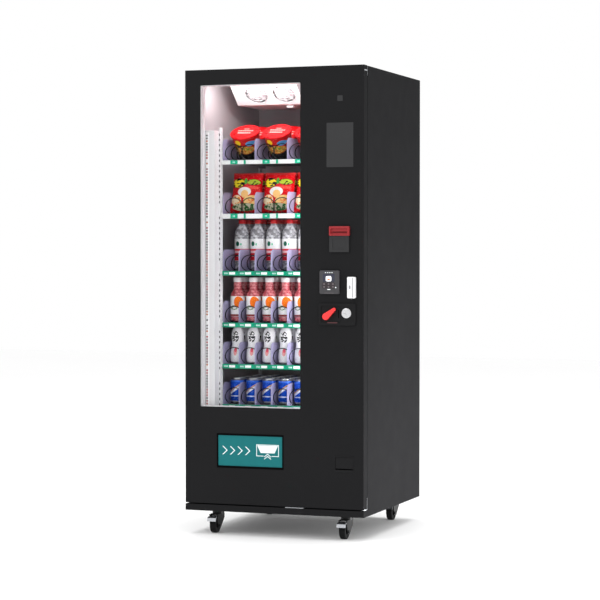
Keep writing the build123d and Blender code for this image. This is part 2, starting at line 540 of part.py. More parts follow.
# ---- casters ----------------------------------------------------------------------------------------
KING_R = 6.0
plates = []
BRAKE_AT = (-14.0, 68.0)  # pedal pivot: y from the wheel centre, and z
for name, x, wy in (
    ("front_left", -CASTER_X, FRONT_WHEEL_Y),
    ("front_right", CASTER_X, FRONT_WHEEL_Y),
    ("rear_left", -CASTER_X, REAR_WHEEL_Y),
    ("rear_right", CASTER_X, REAR_WHEEL_Y),
):
    sy = wy + SWIVEL_OFFSET
    top = block(x - 32, x + 32, sy - 32, sy + 32, BASE_Z - 4, BASE_Z)
    for i in (-1, 1):
        for j in (-1, 1):
            top += rod_z(x + i * 24, sy + j * 24, BASE_Z - 6.5, BASE_Z - 3.9, 4)
    top += rod_z(x, sy, BASE_Z - 7, BASE_Z - 3.9, 21)
    top += rod_z(x, sy, 74, BASE_Z - 4, KING_R)
    top += rod_z(x, sy, 71, 76, 10)
    plates.append(top)

    crown = rod_z(x, sy, 77, BASE_Z - 7.6, 25)
    crown = fillet(crown.edges().group_by(Axis.Z)[-1], 2)
    web = [(sy + 24, 79), (sy + 24, 60), (wy + 16, 20), (wy - 9, 21), (wy - 20, 56), (wy - 20, 79)]
    fork = crown
    for x0, x1 in ((x - 19, x - 16), (x + 16, x + 19)):
        fork += side_profile(web, x0, x1)
    fork += block(x - 19, x + 19, wy - 4, sy + 18, 77, 80)
    fork -= rod_z(x, sy, 60, BASE_Z, KING_R + 0.05)
    fork -= rod_z(x, sy, 60, 76.5, 13)
    fork += rod_x(x - 17, x + 17, wy, WHEEL_R, 4)
    for x0, x1 in ((x - 22, x - 19), (x + 19, x + 22)):
        fork += rod_x(x0, x1, wy, WHEEL_R, 6.5)
    fork += rod_x(x - 17, x + 17, wy + BRAKE_AT[0], BRAKE_AT[1], 2.5)
    save("caster_fork_" + name, fork)

    wheel = rod_x(x - 14, x + 14, wy, WHEEL_R, WHEEL_R)
    wheel = fillet(wheel.edges(), 5)
    for x0, x1 in ((x - 15, x - 11), (x + 11, x + 15)):
        wheel -= rod_x(x0, x1, wy, WHEEL_R, 22) - rod_x(x0, x1, wy, WHEEL_R, 10)
    wheel += rod_x(x - 14, x + 14, wy, WHEEL_R, 9)
    wheel -= rod_x(x - 15, x + 15, wy, WHEEL_R, 4.05)
    save("caster_wheel_" + name, wheel)

    by, bz = wy + BRAKE_AT[0], BRAKE_AT[1]
    pedal_pts = [(by + 6, bz + 3), (by - 20, bz + 3), (by - 26, bz - 2), (by - 30, bz - 16)]
    pedal_pts += [(by - 27.5, bz - 16), (by - 23.5, bz - 3.5), (by - 18, bz - 0.5), (by + 6, bz - 0.5)]
    pedal = side_profile(pedal_pts, x - 19.5, x + 19.5)
    pedal -= block(x - 25, x - 15.4, by - 14, by + 10, bz - 6, bz + 6)
    pedal -= block(x + 15.4, x + 25, by - 14, by + 10, bz - 6, bz + 6)
    pedal += rod_x(x - 15.4, x + 15.4, by, bz, 4.5)
    pedal -= rod_x(x - 16, x + 16, by, bz, 2.55)
    save("caster_brake_" + name, pedal)
save("caster_plates", *plates)
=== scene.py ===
import math
import random

import bmesh
import bpy
from mathutils import Matrix, Vector


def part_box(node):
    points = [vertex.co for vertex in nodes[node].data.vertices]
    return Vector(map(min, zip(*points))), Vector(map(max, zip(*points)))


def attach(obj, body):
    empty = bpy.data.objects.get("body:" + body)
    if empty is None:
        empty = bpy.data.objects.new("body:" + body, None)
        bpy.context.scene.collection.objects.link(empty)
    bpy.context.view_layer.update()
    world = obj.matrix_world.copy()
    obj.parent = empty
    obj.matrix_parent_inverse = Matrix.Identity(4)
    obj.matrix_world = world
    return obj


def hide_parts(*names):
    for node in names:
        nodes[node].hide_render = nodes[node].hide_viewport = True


# A snack vending machine: finishes for the CAD parts, wire spirals, goods in their lanes, and the small
# details of the door. The front looks towards -Y.

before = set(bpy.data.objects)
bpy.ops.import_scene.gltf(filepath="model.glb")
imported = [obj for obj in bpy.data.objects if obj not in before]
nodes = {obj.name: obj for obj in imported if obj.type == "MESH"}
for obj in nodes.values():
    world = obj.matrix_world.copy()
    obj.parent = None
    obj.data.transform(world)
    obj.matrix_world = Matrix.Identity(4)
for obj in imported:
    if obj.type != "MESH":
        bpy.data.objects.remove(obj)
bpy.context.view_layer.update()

FACE_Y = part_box("door_shell")[0].y  # the door's front face
MM = 0.001


# ---- colours and shader building blocks --------------------------------------------------------
def lin(r, g, b):
    """Linear colour from display values 0 to 255."""
    def one(c):
        c /= 255
        return c / 12.92 if c <= 0.04045 else ((c + 0.055) / 1.055) ** 2.4
    return (one(r), one(g), one(b), 1.0)


def scaled(colour, k):
    return tuple(min(c * k, 1.0) for c in colour[:3]) + (1.0,)


class Tree:
    """A material's node tree with a few shorthand makers."""

    def __init__(self, name):
        self.mat = bpy.data.materials.new(name)
        self.mat.use_nodes = True
        self.nodes = self.mat.node_tree.nodes
        self.links = self.mat.node_tree.links
        self.nodes.clear()
        self.out = self.nodes.new("ShaderNodeOutputMaterial")
        self.coords = self.nodes.new("ShaderNodeTexCoord").outputs["Object"]

    def put(self, kind, links=(), values=(), **attributes):
        node = self.nodes.new("ShaderNode" + kind)
        for key, value in attributes.items():
            setattr(node, key, value)
        for key, value in dict(values).items():
            node.inputs[key].default_value = value
        for key, source in dict(links).items():
            self.links.new(source, node.inputs[key])
        return node

    def noise(self, scale, detail=2.0, rough=0.5, source=None):
        return self.put("TexNoise", {"Vector": source or self.coords},
                        {"Scale": scale, "Detail": detail, "Roughness": rough}).outputs["Fac"]

    def stretch(self, source, x, y, z):
        return self.put("Mapping", {"Vector": source}, {"Scale": (x, y, z)}).outputs["Vector"]

    def remap(self, source, lo, hi, a=0.0, b=1.0, smooth=False):
        node = self.put("MapRange", {"Value": source},
                        {"From Min": lo, "From Max": hi, "To Min": a, "To Max": b})
        if smooth:
            node.interpolation_type = "SMOOTHSTEP"
        return node.outputs["Result"]

    def mix(self, fac, a, b):
        node = self.put("Mix", data_type="RGBA")
        for socket, value in ((node.inputs["Factor"], fac), (node.inputs[6], a), (node.inputs[7], b)):
            if isinstance(value, bpy.types.NodeSocket):
                self.links.new(value, socket)
            else:
                socket.default_value = value
        return node.outputs[2]

    def math(self, operation, a, b=None):
        node = self.put("Math", operation=operation)
        for socket, value in zip(node.inputs, (a, b)):
            if isinstance(value, bpy.types.NodeSocket):
                self.links.new(value, socket)
            elif value is not None:
                socket.default_value = value
        return node.outputs[0]

    def axis(self, which):
        return self.put("SeparateXYZ", {"Vector": self.coords}).outputs[which]

    def bump(self, height, strength=0.2, distance=0.0005):
        return self.put("Bump", {"Height": height},
                        {"Strength": strength, "Distance": distance}).outputs["Normal"]

    def principled(self, **inputs):
        node = self.nodes.new("ShaderNodeBsdfPrincipled")
        for key, value in inputs.items():
            socket = node.inputs[key.replace("_", " ")]
            if isinstance(value, bpy.types.NodeSocket):
                self.links.new(value, socket)
            else:
                socket.default_value = value
        return node

    def finish(self, shader):
        self.links.new(shader.outputs[0], self.out.inputs["Surface"])
        return self.mat


def coated(name, colour, rough=0.4, peel=0.12, spread=0.08, scale=700.0, **more):
    """Sprayed or powder-coated sheet: fine orange peel, faint cloudiness in colour and gloss."""
    t = Tree(name)
    cloud = t.noise(3.0, 5.0, 0.6)
    tint = t.mix(t.remap(cloud, 0.3, 0.7), scaled(colour, 1 - spread), scaled(colour, 1 + spread))
    gloss = t.remap(t.noise(14.0, 4.0), 0.3, 0.7, rough - 0.05, rough + 0.06)
    normal = t.bump(t.noise(scale, 1.0), peel, 0.0004)
    return t.finish(t.principled(Base_Color=tint, Roughness=gloss, Normal=normal, **more))


def plastic(name, colour, rough=0.45, grain=0.1, **more):
    """Moulded plastic: fine spark-eroded grain and small changes in gloss."""
    t = Tree(name)
    tint = t.mix(t.noise(40.0, 3.0), scaled(colour, 0.94), scaled(colour, 1.06))
    gloss = t.remap(t.noise(55.0, 3.0), 0.3, 0.7, rough - 0.04, rough + 0.05)
    normal = t.bump(t.noise(1800.0, 1.0), grain, 0.0002)
    return t.finish(t.principled(Base_Color=tint, Roughness=gloss, Normal=normal, **more))


def brushed(name, colour, rough=0.3, along=(1, 60, 60)):
    """Metal with drawn or brushed lines along one axis."""
    t = Tree(name)
    lines = t.noise(40.0, 3.0, 0.7, t.stretch(t.coords, *along))
    tint = t.mix(lines, scaled(colour, 0.85), scaled(colour, 1.1))
    gloss = t.remap(lines, 0.2, 0.8, rough - 0.08, rough + 0.12)
    normal = t.bump(lines, 0.15, 0.0003)
    return t.finish(t.principled(Base_Color=tint, Roughness=gloss, Metallic=1.0, Normal=normal))


def clear(name, tint, gloss, edge, smear, least):
    """Thin clear sheet: see-through, reflecting least head on and edge more at grazing angles."""
    t = Tree(name)
    rim = t.put("LayerWeight", values={"Blend": 0.35}).outputs["Facing"]
    smears = t.remap(t.noise(6.0, 4.0), 0.45, 0.75, gloss, gloss + smear)
    shine = t.put("BsdfGlossy", {"Roughness": smears}, {"Color": (1, 1, 1, 1)})
    through = t.put("BsdfTransparent", values={"Color": tint})
    amount = t.math("ADD", t.math("MULTIPLY", t.math("POWER", rim, 3.0), edge), least)
    mix = t.put("MixShader", {"Fac": amount})
    t.links.new(through.outputs[0], mix.inputs[1])
    t.links.new(shine.outputs[0], mix.inputs[2])
    return t.finish(mix)


def lit(name, colour, strength, spots=0.0):
    """Surface giving off light, with faint unevenness: the lamps and screens, and a painted glow on the
    fans and the plates behind them, which are no lamps.
    """
    t = Tree(name)
    level = t.remap(t.noise(20.0, 2.0), 0.3, 0.7, strength * (1 - spots), strength * (1 + spots))
    return t.finish(t.principled(Base_Color=colour, Roughness=0.5, Emission_Color=colour,
                                 Emission_Strength=level))


# ---- meshes ------------------------------------------------------------------------------------
def mesh_object(name, bm, materials, smooth=True, body=None, angle=35):
    mesh = bpy.data.meshes.new(name)
    bmesh.ops.recalc_face_normals(bm, faces=bm.faces)
    bm.to_mesh(mesh)
    bm.free()
    for m in materials:
        mesh.materials.append(m)
    if smooth:
        mesh.shade_smooth()
        mesh.set_sharp_from_angle(angle=math.radians(angle))
    obj = bpy.data.objects.new(name, mesh)
    bpy.context.scene.collection.objects.link(obj)
    if body:
        settle(obj, body)
    return obj


def settle(obj, body):
    """obj rides on a CAD body; the goods, which aren't part of the machine, ride on the cabinet."""
    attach(obj, body)
    return obj


def copy_of(obj, name, at, body, turn=None):
    twin = bpy.data.objects.new(name, obj.data)
    twin.matrix_world = Matrix.Translation(at) @ (turn or Matrix.Identity(4))
    bpy.context.scene.collection.objects.link(twin)
    return settle(twin, body)


def lathe(profile, segments=32):
    """Surface of revolution about Z; profile is (radius, z, material index) in mm from the bottom up."""
    bm = bmesh.new()
    rings = []
    for r, z, _ in profile:
        r, z = r * MM, z * MM
        if r <= 0:
            rings.append([bm.verts.new((0, 0, z))])
        else:
            rings.append([bm.verts.new((r * math.cos(2 * math.pi * k / segments),
                                        r * math.sin(2 * math.pi * k / segments), z))
                          for k in range(segments)])
    for n in range(len(rings) - 1):
        a, b = rings[n], rings[n + 1]
        for k in range(segments):
            j = (k + 1) % segments
            if len(a) == 1 and len(b) == 1:
                continue
            if len(a) == 1:
                face = bm.faces.new((a[0], b[k], b[j]))
            elif len(b) == 1:
                face = bm.faces.new((a[k], a[j], b[0]))
            else:
                face = bm.faces.new((a[k], a[j], b[j], b[k]))
            face.material_index = profile[n][2]
    return bm


def add_prism(bm, outline, sweep):
    """Closed prism: a flat outline and its copy moved by sweep, joined by walls."""
    front = [bm.verts.new(point) for point in outline]
    back = [bm.verts.new(Vector(point) + Vector(sweep)) for point in outline]
    made = [bm.faces.new(front), bm.faces.new(back[::-1])]
    for k in range(len(outline)):
        j = (k + 1) % len(outline)
        made.append(bm.faces.new((front[k], back[k], back[j], front[j])))
    return made


def add_slab(bm, x0, x1, y0, y1, z0, z1, radius=0.0, index=0, segments=5):
    """Upright slab with rounded corners seen from the front, from depth y0 back to y1."""
    radius = min(radius, (x1 - x0) / 2.001, (z1 - z0) / 2.001)
    outline = []
    corners = ((x1 - radius, z1 - radius, 0), (x0 + radius, z1 - radius, 90),
               (x0 + radius, z0 + radius, 180), (x1 - radius, z0 + radius, 270))
    for cx, cz, start in corners:
        steps = segments if radius > 0 else 0
        for k in range(steps + 1):
            a = math.radians(start + (90 * k / steps if steps else 0))
            outline.append((cx + radius * math.cos(a), cz + radius * math.sin(a)))
    for face in add_prism(bm, [(x, y0, z) for x, z in outline], (0, y1 - y0, 0)):
        face.material_index = index


def paint(node, material):
    data = nodes[node].data
    data.materials.clear()
    data.materials.append(material)
    for polygon in data.polygons:
        polygon.material_index = 0


# ---- the cabinet's and door's finishes ---------------------------------------------------------
BLACK = lin(34, 34, 35)
WHITE = lin(232, 230, 232)
black_paint = coated("black_powder_coat", BLACK, 0.5, 0.05, 0.03, 900.0, Specular_IOR_Level=0.003)
black_plastic = plastic("black_plastic", lin(33, 33, 34), 0.5, Specular_IOR_Level=0.03)
white_sheet = coated("white_coated_sheet", WHITE, 0.4, 0.06, 0.03)
liner_sheet = coated("liner_sheet", lin(196, 190, 193), 0.55, 0.06, 0.03, Specular_IOR_Level=0.2)
grey_sheet = coated("grey_coated_sheet", lin(176, 176, 180), 0.45, 0.08, 0.04)
tray_sheet = coated("tray_sheet", lin(190, 188, 196), 0.4, 0.06, 0.03)
zinc = brushed("zinc_plate", lin(205, 208, 212), 0.28)
chrome = brushed("chrome", lin(222, 222, 224), 0.14, (1, 8, 8))
pedal_metal = brushed("pedal_metal", lin(168, 170, 174), 0.35)
frame_black = plastic("frame_black", lin(8, 8, 9), 0.5, 0.1, Specular_IOR_Level=0.02)
dark_wire = plastic("black_wire_coating", lin(20, 20, 23), 0.4, 0.04, Specular_IOR_Level=0.2)
aluminium_fins = brushed("aluminium_fins", lin(190, 192, 196), 0.4, (60, 60, 1))
rubber = plastic("rubber", lin(15, 15, 16), 0.7, 0.3, Specular_IOR_Level=0.15)
lavender = plastic("lavender_plastic", lin(172, 166, 200), 0.35, 0.05, Specular_IOR_Level=0.2)
green = plastic("green_rail", lin(14, 168, 130), 0.4, 0.05, Specular_IOR_Level=0.15)
rail_white = plastic("white_rail", lin(238, 238, 238), 0.4, 0.05)
red_plastic = plastic("red_bezel", lin(150, 42, 46), 0.42, 0.1, Specular_IOR_Level=0.2)
lever_red = plastic("red_lever", lin(240, 48, 48), 0.35, 0.05)
teal = plastic("teal_flap", lin(20, 108, 111), 0.42, 0.06, Specular_IOR_Level=0.15)
acceptor_grey = plastic("acceptor_grey", lin(54, 54, 55), 0.5, 0.15, Specular_IOR_Level=0.05)
reader_grey = plastic("reader_grey", lin(72, 71, 73), 0.5, 0.25, Specular_IOR_Level=0.1)
pod_white = plastic("pod_white", lin(240, 240, 240), 0.4, 0.05)
motor_plastic = plastic("motor_plastic", lin(40, 40, 42), 0.5)
# The fan rotors' faint glow is a painted glow: they are no lamps.
fan_grey = lit("fan_grey", lin(206, 196, 200), 0.35, 0.05)
screen_glass = coated("screen_glass", lin(57, 57, 58), 0.2, 0.0, 0.03, Specular_IOR_Level=0.05)
window = clear("window_glass", (0.99, 0.992, 0.992, 1.0), 0.02, 0.10, 0.006, 0.001)
compressor_paint = coated("compressor_paint", lin(26, 26, 27), 0.25, 0.1)
strip_light = lit("strip_cover", (0.84, 0.83, 0.84, 1.0), 0.12, 0.06)

FINISH = {
    "cabinet_shell": black_paint, "base_frame": black_paint, "rear_grille": black_paint,
    "door_shell": black_paint, "door_liner": grey_sheet, "inner_liner": liner_sheet,
    "power_inlet": black_plastic, "panel_screws": zinc, "compressor": compressor_paint,
    "condenser": aluminium_fins, "condenser_fan": black_plastic, "evaporator_cover": white_sheet,
    "evaporator_fan_left": fan_grey, "evaporator_fan_right": fan_grey, "tray_uprights": white_sheet,
    "light_strips": strip_light, "lane_dividers": lavender, "price_rails": green,
    "product_spirals": dark_wire, "spiral_motors": motor_plastic, "hinge_brackets": zinc,
    "window_glass": window, "window_trim": white_sheet, "door_gasket": rubber,
    "touch_screen": screen_glass, "bill_bezel": red_plastic, "bill_validator": acceptor_grey,
    "card_reader": reader_grey, "code_scanner": pod_white, "coin_panel": black_plastic,
    "coin_return_lever": lever_red, "lock_escutcheon": chrome, "lock_plug": chrome,
    "delivery_frame": frame_black, "delivery_flap": teal, "pickup_bin": black_paint,
    "coin_return_cup": black_plastic, "coin_return_flap": black_plastic, "caster_plates": zinc,
}
for node in nodes:
    if node.startswith("tray_") and node != "tray_uprights":
        paint(node, tray_sheet)
    elif node.startswith("spiral_tray"):
        paint(node, dark_wire)
    elif node.startswith("caster_fork"):
        corner = node.removeprefix("caster_fork_")
        paint(node, coated("fork_paint_" + corner, lin(12, 12, 13), 0.35, 0.08, Specular_IOR_Level=0.2))
    elif node.startswith("caster_wheel"):
        paint(node, rubber)
    elif node.startswith("caster_brake"):
        paint(node, pedal_metal)
    elif node in FINISH:
        paint(node, FINISH[node])

# The two top rails are white; the others are green.
rails = nodes["price_rails"].data
rails.materials.append(rail_white)
wide_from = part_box("tray_2")[0].z - 0.01
for polygon in rails.polygons:
    if polygon.center.z > wide_from:
        polygon.material_index = 1

# ---- labels on the price rails -----------------------------------------------------------------
PITCH = 73 * MM
LANES, TRAYS = 6, 6
WIDE_TRAYS = 2  # the top trays have lanes two pitches wide
TRAY_DEEP = 80 * MM  # a tray's floor is this far below the top of its box


def tray_frame(n):
    """x of the left edge, front y, rail's low and high z, and floor z of tray n (1 at the top)."""
    a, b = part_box("tray_" + str(n))
    floor = b.z - TRAY_DEEP
    return a.x, a.y, a.z, floor + 3 * MM, floor


label_white = plastic("label_card", lin(246, 247, 247), 0.5, 0.03)
label_ink = plastic("label_ink", lin(196, 232, 224), 0.5, 0.03)
label_dark = plastic("label_dark_green", lin(16, 140, 112), 0.45, 0.03)
rail_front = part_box("price_rails")[0].y


def rail_mark(bm, x, a, b, lo, hi, radius=0.0, index=0, out=0.4):
    """Slab on the rails' face from a to b mm right of x, in heights lo to hi."""
    add_slab(bm, x + a * MM, x + b * MM, rail_front - out * MM, rail_front + 2.0 * MM,
             lo, hi, radius * MM, index)


for n in range(1, TRAYS + 1):
    x0, _, z0, z1, _ = tray_frame(n)
    wide = n <= WIDE_TRAYS
    bm = bmesh.new()
    mid, tall = (z0 + z1) / 2, (z1 - z0)
    for k in range(0, LANES, 2 if wide else 1):
        x = x0 + k * PITCH
        if wide:
            for a, b in ((38, 70), (99, 107)):
                rail_mark(bm, x, a, b, z0 + 0.2 * MM, z1 - 0.2 * MM, 0, 2)
            marks = ((49, 52), (54, 58))
        else:
            rail_mark(bm, x, 31, 58, mid - tall * 0.28, mid + tall * 0.28, 0.5)
            rail_mark(bm, x, 0.4, 2.4, z0 + 0.5 * MM, z1 - 0.5 * MM, 0, 2)
            marks = ((9, 13), (15, 18), (20, 24))
        for a, b in marks:
            rail_mark(bm, x, a, b, mid - tall * 0.18, mid + tall * 0.18, 0.4, 1, 0.6)
    mesh_object("rail_labels_" + str(n), bm, [label_white, label_ink, green if wide else label_dark],
                False, "cabinet")

# ---- smooth spirals in place of the facetted ones ----------------------------------------------
COIL_R, WIRE_R, TURNS = 33 * MM, 2 * MM, 7.25


def coil_mesh(length, segments=26, sides=8):
    """Wire coil along -Y from its drive end at the origin, with its arm and hub."""
    bm = bmesh.new()
    steps = round(TURNS * segments)
    rings = []
    for k in range(steps + 1):
        a = math.pi + 2 * math.pi * k / segments
        centre = Vector((COIL_R * math.cos(a), -length * k / steps, COIL_R * math.sin(a)))
        out = Vector((math.cos(a), 0, math.sin(a)))
        rings.append([bm.verts.new(centre + WIRE_R * (out * math.cos(b) + Vector((0, 1, 0)) * math.sin(b)))
                      for b in (2 * math.pi * j / sides for j in range(sides))])
    for first, second in zip(rings, rings[1:]):
        for j in range(sides):
            i = (j + 1) % sides
            bm.faces.new((first[j], first[i], second[i], second[j]))
    bm.faces.new(rings[0][::-1])
    bm.faces.new(rings[-1])
    for radius, at, reach, turn in ((2.5 * MM, (-COIL_R / 2, 0, 0), COIL_R + 2 * MM, "Y"),
                                    (9 * MM, (0, 7 * MM, 0), 18 * MM, "X")):
        move = Matrix.Translation(at) @ Matrix.Rotation(math.radians(90), 4, turn)
        bmesh.ops.create_cone(bm, cap_ends=True, segments=16, radius1=radius, radius2=radius,
                              depth=reach, matrix=move)
    return bm


hub_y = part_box("spiral_tray_3")[1].y - 16 * MM
coil_length = hub_y - (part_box("spiral_tray_3")[0].y + WIRE_R)
COIL_RISE = 38.5 * MM  # spiral axis above the tray's floor
first_coil = None
for n in range(1, TRAYS + 1):
    x0, _, _, _, floor = tray_frame(n)
    for k in range(LANES):
        at = (x0 + (k + 0.5) * PITCH, hub_y, floor + COIL_RISE)
        live = "spiral_tray_" + str(n)
        alive = k == LANES - 1 and live in nodes
        node = live if alive else "product_spirals"
        name = "coil_" + str(n) + "_" + str(k + 1)
        body = live if alive else "cabinet"
        if first_coil is None:
            coil = mesh_object(name, coil_mesh(coil_length), [dark_wire])
            coil.matrix_world = Matrix.Translation(at)
            first_coil = settle(coil, body)
        else:
            coil = copy_of(first_coil, name, at, body)
        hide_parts(node)

# ---- goods -------------------------------------------------------------------------------------
# Each kind is one mesh, shared by its copies. Labels are drawn by shaders in the piece's own coordinates,
# with the front at -Y.


def shape_mask(t, x, z, cx, cz, rx, rz):
    """1 inside an ellipse at (cx, cz) in a piece's front view, in metres."""
    u = t.math("DIVIDE", t.math("SUBTRACT", x, cx), rx)
    v = t.math("DIVIDE", t.math("SUBTRACT", z, cz), rz)
    far = t.math("ADD", t.math("POWER", u, 2.0), t.math("POWER", v, 2.0))
    return t.math("LESS_THAN", far, 1.0)


def band(t, z, lo, hi):
    return t.math("MULTIPLY", t.math("GREATER_THAN", z, lo), t.math("LESS_THAN", z, hi))


def front_only(t, mask):
    return t.math("MULTIPLY", mask, t.math("LESS_THAN", t.axis("Y"), 0.0))


def printed(name, base, layers, rough=0.4, **more):
    """Printed surface: layers is a list of (kind, numbers, colour), painted in order over base."""
    t = Tree(name)
    x, z = t.axis("X"), t.axis("Z")
    colour = t.mix(t.noise(30.0, 3.0), scaled(base, 0.95), scaled(base, 1.05))
    for kind, numbers, tint in layers:
        if kind == "oval":
            mask = front_only(t, shape_mask(t, x, z, *numbers))
        elif kind == "band":
            mask = band(t, z, *numbers)
        elif kind == "slant":  # band whose edge leans: z between lo and hi + lean * x
            lo, hi, lean = numbers
            tilted = t.math("SUBTRACT", z, t.math("MULTIPLY", x, lean))
            mask = front_only(t, band(t, tilted, lo, hi))
        elif kind == "food":  # mottled picture inside an oval
            spots = t.math("GREATER_THAN", t.noise(numbers[4], 4.0, 0.7), 0.52)
            mask = t.math("MULTIPLY", front_only(t, shape_mask(t, x, z, *numbers[:4])), spots)
        else:  # "strokes": short marks inside an oval
            lines = t.noise(numbers[4], 1.0, 0.3, t.stretch(t.coords, 1.0, 0.2, 1.6))
            marks = t.math("GREATER_THAN", lines, 0.5)
            mask = t.math("MULTIPLY", front_only(t, shape_mask(t, x, z, *numbers[:4])), marks)
        colour = t.mix(mask, colour, tint)
    gloss = t.remap(t.noise(60.0, 2.0), 0.3, 0.7, rough - 0.05, rough + 0.07)
    normal = t.bump(t.noise(500.0, 1.0), 0.04, 0.0002)
    return t.finish(t.principled(Base_Color=colour, Roughness=gloss, Normal=normal,
                                 Specular_IOR_Level=0.15, **more))


def painted_refraction(name, dark, pale, gloss=0.08):
    """Filled clear bottle, drawn opaque: its pale and dark streaks are painted refraction and painted
    highlights.
    """
    t = Tree(name)
    rings = t.noise(55.0, 3.0, 0.6, t.stretch(t.coords, 1.0, 1.0, 1.8))
    colour = t.mix(t.remap(rings, 0.42, 0.6, smooth=True), dark, pale)
    return t.finish(t.principled(Base_Color=colour, Roughness=gloss, Coat_Weight=0.5,
                                 Normal=t.bump(rings, 0.3, 0.002)))


INK, YELLOW, GREEN_INK = lin(22, 22, 24), lin(250, 226, 40), lin(70, 170, 60)
# Water bottle: its grey and white streaks are all painted refraction and painted highlights.
pet = painted_refraction("clear_bottle", lin(140, 138, 143), lin(232, 231, 235))
cap_red = plastic("cap_red", lin(196, 12, 20), 0.35, 0.05)
cap_white = plastic("cap_white", lin(240, 238, 238), 0.35, 0.05)
can_metal = brushed("can_metal", lin(200, 202, 206), 0.22, (60, 60, 1))
# Juice: its own pink, with lighter and darker streaks of painted refraction and painted highlights.
juice = painted_refraction("juice", lin(176, 66, 76), lin(222, 126, 132))
cup_side = printed("cup_side", lin(198, 20, 20), [
    ("oval", (-0.018, 0.094, 0.014, 0.013), lin(252, 206, 30)),
    ("oval", (0.034, 0.088, 0.018, 0.012), lin(90, 160, 210)),
    ("oval", (0.0, 0.036, 0.058, 0.046), INK),
    ("oval", (0.010, 0.058, 0.036, 0.020), lin(206, 110, 40)),
    ("food", (0.010, 0.058, 0.034, 0.018, 150.0), lin(250, 196, 90)),
    ("food", (0.014, 0.060, 0.026, 0.012, 90.0), lin(120, 150, 40)),
    ("food", (-0.032, 0.050, 0.012, 0.026, 110.0), lin(214, 180, 60)),
], 0.35)
lid_red = printed("lid_red", lin(206, 18, 24), [], 0.3)
lid_mark = plastic("lid_mark", lin(246, 214, 206), 0.4, 0.03)
bag_print = printed("bag_print", lin(212, 18, 26), [
    ("band", (0.166, 0.178), lin(226, 56, 54)),
    ("oval", (-0.034, 0.126, 0.031, 0.022), INK),
    ("strokes", (-0.034, 0.126, 0.028, 0.019, 70.0), YELLOW),
    ("oval", (0.000, 0.134, 0.007, 0.014), GREEN_INK),
    ("oval", (0.034, 0.130, 0.030, 0.014), INK),
    ("strokes", (0.034, 0.130, 0.028, 0.012, 90.0), lin(170, 190, 50)),
    ("oval", (0.030, 0.106, 0.028, 0.007), lin(234, 70, 60)),
    ("oval", (-0.004, 0.088, 0.030, 0.020), lin(240, 236, 232)),
    ("oval", (-0.002, 0.078, 0.017, 0.017), lin(250, 196, 120)),
    ("oval", (-0.040, 0.052, 0.024, 0.022), lin(250, 232, 190)),
    ("food", (-0.040, 0.052, 0.022, 0.020, 60.0), lin(240, 140, 50)),
    ("oval", (0.034, 0.050, 0.040, 0.022), lin(248, 206, 130)),
    ("food", (0.034, 0.050, 0.038, 0.020, 60.0), lin(236, 120, 50)),
    ("oval", (0.0, 0.022, 0.060, 0.016), lin(196, 190, 160)),
    ("food", (0.0, 0.022, 0.060, 0.016, 50.0), lin(40, 96, 44)),
], 0.22)
water_label = printed("water_label", lin(250, 250, 250), [
    ("oval", (-0.009, 0.112, 0.0085, 0.0105), lin(16, 96, 74)),
    ("oval", (0.007, 0.110, 0.003, 0.005), lin(60, 214, 160)),
    ("band", (0.040, 0.090), lin(224, 24, 42)),
    ("band", (0.072, 0.082), lin(246, 200, 206)),
    ("band", (0.056, 0.060), lin(246, 150, 160)),
], 0.35)
juice_label = printed("juice_label", lin(248, 246, 244), [
    ("oval", (0.012, 0.082, 0.018, 0.024), lin(248, 118, 20)),
    ("food", (-0.006, 0.058, 0.018, 0.010, 130.0), lin(110, 140, 100)),
    ("band", (0.021, 0.030), lin(150, 60, 62)),
], 0.4)
milk = printed("gourd_bottle", lin(246, 244, 246), [
    ("strokes", (0.0, 0.110, 0.016, 0.024, 120.0), INK),
    ("oval", (0.002, 0.045, 0.008, 0.016), lin(246, 170, 168)),
    ("oval", (0.003, 0.053, 0.006, 0.009), lin(236, 92, 110)),
], 0.3)
can_print = printed("can_print", lin(18, 74, 190), [
    ("slant", (0.050, 0.060, 0.7), lin(240, 243, 250)),
    ("slant", (0.062, 0.066, 0.7), lin(250, 190, 60)),
    ("slant", (0.026, 0.031, 0.0), lin(220, 228, 246)),
    ("band", (0.088, 0.094), lin(60, 110, 216)),
], 0.25, Metallic=0.35)


def cup_mesh():
    """Paper cup with a rolled rim, and three rows of pale marks on its lid."""
    bm = lathe([(0, 0, 0), (44, 0, 0), (46, 2, 0), (60, 112, 0), (61, 114, 0), (64.5, 115, 1),
                (65, 117.5, 1), (64.5, 120, 1), (61.5, 120.6, 1), (57, 118.8, 1), (0, 119.2, 1)], 40)
    for half, v, tall in ((13, 26, 4), (36, 9, 6), (30, -12, 8)):
        count = half // 5
        for k in range(count):
            a = -half + 2 * half * k / count
            wide = half / count
            mark = ((a, v), (a + 1.5 * wide, v + 1), (a + 1.4 * wide, v + tall), (a + 0.6, v + tall - 1))
            for face in add_prism(bm, [(x * MM, y * MM, 120.2 * MM) for x, y in mark], (0, 0, -2 * MM)):
                face.material_index = 2
    return bm, [cup_side, lid_red, lid_mark]


